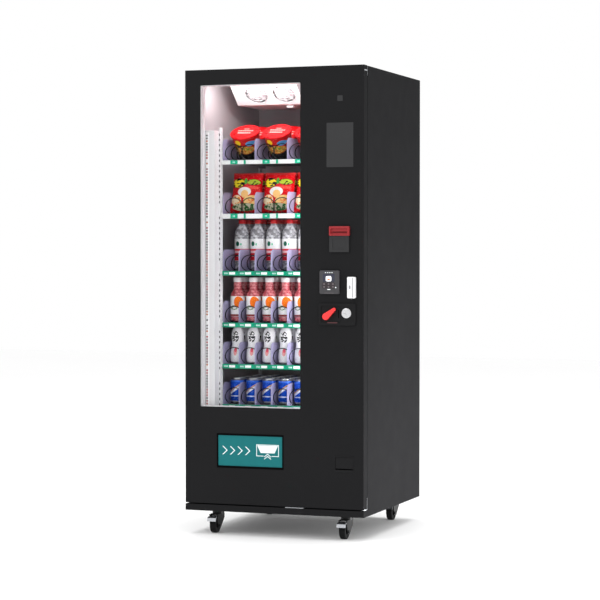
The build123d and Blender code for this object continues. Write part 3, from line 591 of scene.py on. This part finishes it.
def bag_mesh():
    """Pillow bag, flat at its seams and wrinkled between them."""
    bm = bmesh.new()
    cols, rows = 18, 26
    half, tall, deep = 68.5 * MM, 176 * MM, 27 * MM  # half width, height, and how far each side swells
    sides = []
    for sign in (-1, 1):
        grid = []
        for j in range(rows + 1):
            v = j / rows
            line = []
            for i in range(cols + 1):
                u = i / cols * 2 - 1
                puff = max(0.0, 1 - abs(u) ** 3) ** 0.6 * max(0.0, 1 - abs(2 * v - 1) ** 5) ** 0.75
                wrinkle = 0.05 * math.sin(9 * u + 3) * math.sin(14 * v + 2 * u) * (1 - puff * 0.6)
                inset = 1 - 0.035 * math.sin(math.pi * v) + 0.13 * (1 - v) ** 2
                y = sign * max(0.6 * MM, deep * (puff + wrinkle * min(1, puff * 4)))
                line.append(bm.verts.new((u * half * inset, y, v * tall)))
            grid.append(line)
        for j in range(rows):
            for i in range(cols):
                bm.faces.new((grid[j][i], grid[j][i + 1], grid[j + 1][i + 1], grid[j + 1][i]))
        sides.append(grid)
    edge = [(0, i) for i in range(cols + 1)] + [(j, cols) for j in range(1, rows + 1)]
    edge += [(rows, i) for i in range(cols - 1, -1, -1)] + [(j, 0) for j in range(rows - 1, 0, -1)]
    for (j, i), (b, a) in zip(edge, edge[1:] + edge[:1]):
        bm.faces.new((sides[0][j][i], sides[0][b][a], sides[1][b][a], sides[1][j][i]))
    return bm, [bag_print]


def water_mesh():
    bm = lathe([(0, 4, 0), (20, 1, 0), (28, 0, 0), (32, 5, 0), (32.2, 18, 0), (30.6, 22, 0), (32.2, 26, 0),
                (32.2, 39, 1), (32.6, 40, 1), (32.6, 132, 1), (32.2, 133, 0), (32.2, 140, 0),
                (30.2, 144, 0), (32, 148, 0), (32, 156, 0), (30, 168, 0), (14, 193, 0), (12.5, 197, 0),
                (12.5, 198, 2), (15, 198.5, 2), (15, 213, 2), (14, 215, 2), (0, 215, 2)])
    return bm, [pet, water_label, cap_red]


def juice_mesh():
    bm = lathe([(0, 2, 0), (24, 0, 0), (30, 4, 0), (31, 20, 1), (31.4, 21, 1), (31.4, 106, 1), (31, 107, 0),
                (30, 114, 0), (25, 125, 0), (19, 134, 0), (17.5, 140, 0), (18, 160, 0), (16.5, 165, 0),
                (16.5, 167, 2), (18.5, 167.5, 2), (18.5, 184, 2), (17.5, 186, 2), (0, 186, 2)])
    return bm, [juice, juice_label, cap_white]


def gourd_mesh():
    bm = lathe([(0, 2, 0), (25, 0, 0), (30, 4, 0), (31.6, 20, 0), (31, 40, 0), (28, 58, 0), (24.6, 70, 0),
                (23.6, 78, 0), (25, 90, 0), (27, 106, 0), (26.6, 124, 0), (22, 140, 0), (15, 149, 0),
                (9, 151, 1), (9, 156, 1), (8, 157, 1), (0, 157, 1)])
    return bm, [milk, cap_white]


def can_mesh():
    bm = lathe([(0, 5, 1), (20, 3, 1), (24, 0, 1), (26, 1, 1), (31, 8, 0), (32, 12, 0), (32, 92, 0),
                (31, 96, 1), (27.5, 101, 1), (27.8, 103, 1), (26.6, 103, 1), (25.8, 99, 1), (0, 98.5, 1)])
    return bm, [can_print, can_metal]


POCKET = 66.2  # mm between two turns of a spiral
# One line for each tray, from the top: name, mesh maker, lanes used, first lane's centre and the step to
# the next in pitches, rows, row gap, first row behind the spiral's front end, shift to the right, lean
# forward in degrees, and the foot's height above the tray. Lengths are in mm. A leaning cup stands on its
# front edge, so its foot is higher.
GOODS = (
    ("cup", cup_mesh, 3, 1.0, 2, 3, 2 * POCKET, 128, 0, 31, 24),
    ("bag", bag_mesh, 3, 1.0, 2, 4, POCKET, 76, 0, -12, 7.7),
    ("water", water_mesh, 5, 0.5, 1, 4, POCKET, 2 * POCKET, -3, 0, 7.7),
    ("juice", juice_mesh, 5, 0.5, 1, 5, POCKET, POCKET, 3, 0, 7.7),
    ("gourd", gourd_mesh, 5, 0.5, 1, 5, POCKET, POCKET, 3, 0, 7.7),
    ("can", can_mesh, 6, 0.5, 1, 5, POCKET, POCKET, 3, 0, 7.7),
)
TWIST = 6  # a bottle, can or cup is turned by up to this many degrees, at random
coil_front = hub_y - coil_length
rng = random.Random(7)
for n, (kind, maker, lanes, first, step, rows, gap, start, aside, lean, lift) in enumerate(GOODS, 1):
    x0, _, _, _, floor = tray_frame(n)
    bm, materials = maker()
    master = None
    for row in range(rows):
        for k in range(lanes):
            x = x0 + (first + k * step) * PITCH + aside * MM
            at = Vector((x, coil_front + (start + row * gap) * MM, floor + lift * MM))
            turn = Matrix.Rotation(math.radians(lean), 4, "X")
            if kind != "bag":
                turn = turn @ Matrix.Rotation(math.radians(rng.uniform(-TWIST, TWIST)), 4, "Z")
            name = kind + "_" + str(row + 1) + "_" + str(k + 1)
            if master is None:
                master = mesh_object(name, bm, materials, angle=40)
                master.matrix_world = Matrix.Translation(at) @ turn
                settle(master, "cabinet")
            else:
                copy_of(master, name, at, "cabinet", turn)


# ---- small details of the door's fittings, in millimetres of the CAD part ----------------------
def face_slab(bm, x0, x1, z0, z1, out, deep, radius=0.0, index=0):
    """Slab on the door's face: it stands out from it by out and reaches deep behind."""
    add_slab(bm, x0 * MM, x1 * MM, FACE_Y - out * MM, FACE_Y + deep * MM, z0 * MM, z1 * MM,
             radius * MM, index)


# The delivery flap's sign: a tray with its rim, two arrow heads below it, and a row of chevrons beside it.
white_ink = plastic("white_ink", lin(238, 246, 246), 0.45, 0.03)
SIGN_IN, SIGN_BACK = 0.85, 1.2  # the sign's face and back behind the door's face; the flap's is 1 mm behind
sign = bmesh.new()


def sign_shape(points):
    outline = [(x * MM, FACE_Y + SIGN_IN * MM, z * MM) for x, z in points]
    add_prism(sign, outline, (0, (SIGN_BACK - SIGN_IN) * MM, 0))


LINE = 2.6  # stroke of the pictogram
LEFT, RIGHT, LOW, TOP = -75.0, 25.0, 338.0, 387.0
GAP = (-43.0, -7.0)  # opening in the pictogram's lower edge
sign_shape([(LEFT, LOW), (LEFT + LINE, LOW), (LEFT + LINE, TOP), (LEFT, TOP)])
sign_shape([(RIGHT - LINE, LOW), (RIGHT, LOW), (RIGHT, TOP), (RIGHT - LINE, TOP)])
sign_shape([(LEFT + LINE, TOP - LINE), (RIGHT - LINE, TOP - LINE), (RIGHT - LINE, TOP), (LEFT + LINE, TOP)])
sign_shape([(LEFT + LINE, LOW), (GAP[0], LOW), (GAP[0], LOW + LINE), (LEFT + LINE, LOW + LINE)])
sign_shape([(GAP[1], LOW), (RIGHT - LINE, LOW), (RIGHT - LINE, LOW + LINE), (GAP[1], LOW + LINE)])
sign_shape([(-56, 352), (6, 352), (21, 383), (-71, 383)])
for z in (325, 334):
    sign_shape([(-40, z), (-25, z + 12), (-10, z), (-10, z + 3.6), (-25, z + 15.6), (-40, z + 3.6)])
CHEVRONS, CHEVRON_STEP = 4, 34
for k in range(CHEVRONS):
    x, z = -228 + CHEVRON_STEP * k, 341
    sign_shape([(x, z), (x + 5, z), (x + 24, z + 17.5), (x + 5, z + 35), (x, z + 35), (x + 19, z + 17.5)])
mesh_object("push_sign", sign, [white_ink], False, "delivery_flap")

# Card reader: lamp row, screen with a rounded tile, two rows of keys, a bar and a contactless dot.
READER_LEFT, READER_TOP, READER_OUT = 207.0, 1113.0, 9.25
reader_black = plastic("reader_black", lin(38, 28, 32), 0.3, 0.05)
reader_lamp = lit("reader_lamp", (0.8, 0.85, 0.86, 1.0), 0.5)
tile_white = lit("reader_tile", (0.93, 0.93, 0.94, 1.0), 0.35)
tile_orange = plastic("tile_orange", lin(226, 112, 30), 0.4, 0.03)
key_grey = plastic("key_grey", lin(112, 104, 108), 0.4, 0.1)
reader_blue = plastic("reader_navy", lin(44, 46, 62), 0.25, 0.03)
READER_MATS = [reader_lamp, tile_white, tile_orange, reader_black, key_grey, reader_blue]
LAMP, TILE, ORANGE, PAD, KEY, SCREEN = range(len(READER_MATS))
bits = bmesh.new()


def reader_bit(x0, x1, down0, down1, proud, radius, index):
    """Slab on the reader, from its left edge and down from its top, proud of its face."""
    face_slab(bits, READER_LEFT + x0, READER_LEFT + x1, READER_TOP - down1, READER_TOP - down0,
              READER_OUT + proud, -8, radius, index)


for x in (27, 36.5, 46, 55):
    reader_bit(x - 2.2, x + 2.2, 7.4, 10.2, 0, 1.2, LAMP)
reader_bit(15, 66, 14, 47, -0.05, 3, SCREEN)
reader_bit(28, 52.5, 23, 45, 0.1, 6, TILE)
reader_bit(35, 43, 34, 40, 0.3, 2.8, ORANGE)
reader_bit(42, 48, 35.5, 39, 0.3, 1.6, ORANGE)
reader_bit(13, 66, 49.5, 73, 0, 3, PAD)
for x in (21, 40, 59):
    for z in (55.7, 67.6):
        reader_bit(x - 3.4, x + 3.4, z - 2.6, z + 2.6, 0.5, 1.8, KEY)
reader_bit(34, 48, 76.5, 79.5, 0.1, 1.2, LAMP)
reader_bit(68.5, 73.5, 67.5, 72.5, 0.1, 2.4, LAMP)
reader_bit(22, 62, 92.3, 93.5, 0.1, 0.5, KEY)
mesh_object("reader_details", bits, READER_MATS, False, "door")

# Code scanner: its window, and a grey strip by its right edge, the painted shade of the box's side.
pod_side_shade = plastic("pod_side_shade", lin(176, 176, 178), 0.4, 0.05)
scanner_lens = plastic("scanner_lens", lin(150, 150, 154), 0.15, 0.02)
POD_LEFT, POD_RIGHT, POD_LOW, POD_TOP = 333.6, 363.4, 1000.0, 1087.0
pod = bmesh.new()
face_slab(pod, POD_LEFT + 8.2, POD_LEFT + 14.6, POD_TOP - 50, POD_TOP - 35, 29.0, -27, 3.2, 0)
face_slab(pod, POD_RIGHT - 9.0, POD_RIGHT - 3.2, POD_LOW + 3.2, POD_TOP - 3.2, 30.15, -29, 0.4, 1)
mesh_object("scanner_details", pod, [scanner_lens, pod_side_shade], False, "door")

# Coin panel: a thin dark red line under the lever, painted shade at the edge of its recess with a red
# painted reflection of the lever.
lever_shade = bmesh.new()
face_slab(lever_shade, 240, 284, 896.5, 900.5, 6.6, -5, 1.2, 0)
lever_shade_red = plastic("dark_red", lin(78, 30, 34), 0.4)
mesh_object("coin_lever_shade", lever_shade, [lever_shade_red], False, "door")

# ---- small details inside the cabinet ----------------------------------------------------------
# Row of lamps down the left light strip, mostly red and dark, with a few missing.
lamps = bmesh.new()
strip_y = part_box("light_strips")[0].y
LAMP_X, LAMP_HALF, LAMP_STEP = -319.0, 3.4, 11.8
LAMP_LOW, LAMP_TOP = 276.0, 1690.0
LAMP_MISSING = 0.08  # share of the places left empty
lamp_colours = [lin(170, 40, 50), lin(36, 32, 36), lin(84, 72, 78), lin(190, 100, 50), lin(120, 20, 34)]
lamp_mats = [plastic("lamp_" + str(i), c, 0.3, 0.03) for i, c in enumerate(lamp_colours)]
lamp_rng = random.Random(11)
z = LAMP_LOW
while z < LAMP_TOP:
    if lamp_rng.random() > LAMP_MISSING:
        pick = lamp_rng.choice((0, 0, 1, 1, 1, 2, 2, 3, 4))
        add_slab(lamps, (LAMP_X - LAMP_HALF) * MM, (LAMP_X + LAMP_HALF) * MM, strip_y - 0.8 * MM,
                 strip_y + 0.5 * MM, (z - LAMP_HALF) * MM, (z + LAMP_HALF) * MM, 1.2 * MM, pick, 3)
    z += LAMP_STEP
mesh_object("strip_lamps", lamps, lamp_mats, False, "cabinet")

# Pale plates behind the two fans of the evaporator's cover, with a painted glow, since they are no lamps.
FAN_X, FAN_Y, FAN_Z = (-174, -48), 259, 1864
FAN_R, PLATE_T, PLATE_BEHIND = 50, 1.5, 19
fan_plate = lit("fan_plate", lin(196, 186, 190), 0.25, 0.06)
plates = bmesh.new()
fan_out = Vector((0, -82, -96)).normalized()  # the way the sloping face looks
plate_turn = Vector((0, 0, 1)).rotation_difference(fan_out).to_matrix().to_4x4()
for x in FAN_X:
    centre = Vector((x * MM, FACE_Y + FAN_Y * MM, FAN_Z * MM)) - fan_out * PLATE_BEHIND * MM
    bmesh.ops.create_cone(plates, cap_ends=True, segments=32, radius1=FAN_R * MM, radius2=FAN_R * MM,
                          depth=PLATE_T * MM, matrix=Matrix.Translation(centre) @ plate_turn)
mesh_object("fan_plates", plates, [fan_plate], False, "cabinet")

# Hook slots in the front edge of the left upright, in groups between the trays, drawn as dark slabs:
# painted shade in the holes.
UPRIGHT_X, UPRIGHT_Y = -287.0, 108.0
SLOT_LOW, SLOT_TOP, SLOT_STEP = 300, 1690, 22
BRACKETS = (1371, 1131, 884, 667, 463)  # heights where a tray's bracket covers the slots
slot_shade = plastic("slot_shade", lin(92, 88, 94), 0.6, 0.05)
slots = bmesh.new()
for z in range(SLOT_LOW, SLOT_TOP, SLOT_STEP):
    if not any(-34 < z - bracket < 26 for bracket in BRACKETS):
        add_slab(slots, (UPRIGHT_X + 0.8) * MM, (UPRIGHT_X + 5.2) * MM, FACE_Y + (UPRIGHT_Y - 0.5) * MM,
                 FACE_Y + (UPRIGHT_Y + 1) * MM, (z - 5) * MM, (z + 5) * MM, 1.0 * MM, 0, 3)
mesh_object("upright_slots", slots, [slot_shade], False, "cabinet")

# ---- stage, camera and light -------------------------------------------------------------------
floor_mesh = bmesh.new()
bmesh.ops.create_grid(floor_mesh, x_segments=8, y_segments=8, size=14)
floor_tree = Tree("studio_floor")
floor_tint = floor_tree.mix(floor_tree.noise(0.6, 3.0), (0.97, 0.97, 0.97, 1), (0.985, 0.985, 0.985, 1))
floor_mat = floor_tree.finish(floor_tree.principled(Base_Color=floor_tint, Roughness=0.9))
floor_obj = mesh_object("studio_floor", floor_mesh, [floor_mat], False)

scene = bpy.context.scene
scene.view_settings.view_transform = "Standard"
world = bpy.data.worlds.new("studio")
scene.world = world
world.use_nodes = True
world.node_tree.nodes["Background"].inputs["Color"].default_value = (1, 1, 1, 1)
world.node_tree.nodes["Background"].inputs["Strength"].default_value = 1.0

AZIMUTH, TILT = math.radians(20.09), math.radians(1.284)  # the camera stands to the right, a little above
ahead = Vector((-math.sin(AZIMUTH) * math.cos(TILT), math.cos(AZIMUTH) * math.cos(TILT), -math.sin(TILT)))
camera = bpy.data.objects.new("camera", bpy.data.cameras.new("camera"))
camera.data.lens = 120
camera.data.sensor_width = 36
camera.location = (2.954, FACE_Y - 7.751, 1.1756)
camera.rotation_mode = "QUATERNION"
camera.rotation_quaternion = ahead.to_track_quat("-Z", "Y")
scene.collection.objects.link(camera)
bpy.context.scene.camera = camera


def area_light(name, at, aim, size_x, size_y, power):
    data = bpy.data.lights.new(name, "AREA")
    data.shape = "RECTANGLE"
    data.size, data.size_y = size_x, size_y
    data.energy = power
    lamp = bpy.data.objects.new(name, data)
    lamp.location = at
    lamp.rotation_mode = "QUATERNION"
    lamp.rotation_quaternion = (Vector(aim) - Vector(at)).to_track_quat("-Z", "Y")
    scene.collection.objects.link(lamp)


area_light("key", (-2.6, -4.5, 4.2), (0, 0, 1.0), 3.0, 3.0, 80)
area_light("side", (1.7, 0.1, 0.1), (0.4, 0.05, 0.2), 0.7, 0.2, 34)
area_light("top", (0, 0.5, 5.0), (0, 0, 0), 4.0, 4.0, 140)
area_light("cell_front_right", (0.155, strip_y + 0.03, 1.05), (-0.1, 0.4, 1.05), 0.02, 1.1, 2.4)
area_light("cell_top", (-0.08, strip_y + 0.04, 1.88), (-0.05, 0.5, 1.3), 0.45, 0.02, 1.5)
